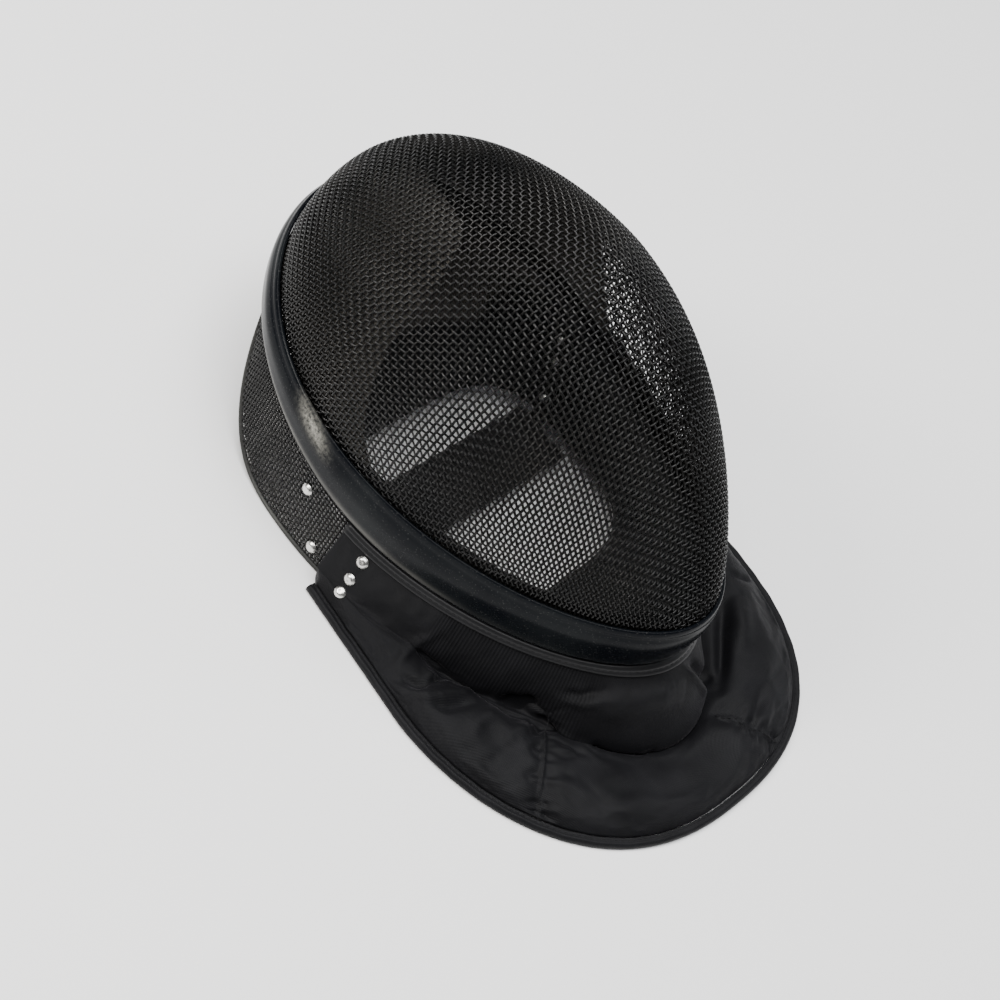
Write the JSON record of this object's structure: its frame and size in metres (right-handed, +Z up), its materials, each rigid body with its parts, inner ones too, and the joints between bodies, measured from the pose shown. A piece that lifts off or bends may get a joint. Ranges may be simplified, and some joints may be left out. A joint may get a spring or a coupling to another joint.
{
  "type": "fencing mask",
  "caption": "Fencing mask with a domed woven-wire face, rubber trim, side meshes, padded throat bib, lining and elastic back strap, lying on its open back.",
  "frame": {"origin": "on the table, under the centre of the mask's box", "axes": "+Z up, the way the face looks; -Y towards the chin and the bib; +X to the wearer's left"},
  "size_m": [0.2428, 0.379, 0.2085],
  "materials": {
    "black_wire": "gloss",
    "black_rubber": "gloss",
    "bib_cloth": "satin",
    "binding_tape": "satin",
    "lining_cloth": "matte",
    "strap_elastic": "matte",
    "rivet_steel": "polished"
  },
  "bodies": {
    "root": {"back_strap": "strap_elastic", "bib": "bib_cloth", "bib_binding": "binding_tape", "bib_edge": "binding_tape", "bib_rivet_low_left": "rivet_steel", "bib_rivet_low_right": "rivet_steel", "bib_rivet_middle_left": "rivet_steel", "bib_rivet_middle_right": "rivet_steel", "bib_rivet_top_left": "rivet_steel", "bib_rivet_top_right": "rivet_steel", "front_mesh": "black_wire", "lining": "lining_cloth", "rim_edge_left": "black_rubber", "rim_edge_right": "black_rubber", "side_mesh_left": "black_wire", "side_mesh_right": "black_wire", "side_rivet_lower_left": "rivet_steel", "side_rivet_lower_right": "rivet_steel", "side_rivet_upper_left": "rivet_steel", "side_rivet_upper_right": "rivet_steel", "strap_tab_left": "strap_elastic", "strap_tab_right": "strap_elastic", "tab_stud_low_left": "rivet_steel", "tab_stud_low_right": "rivet_steel", "tab_stud_middle_left": "rivet_steel", "tab_stud_middle_right": "rivet_steel", "tab_stud_top_left": "rivet_steel", "tab_stud_top_right": "rivet_steel", "trim": "black_rubber"}
  },
  "joints": []
}
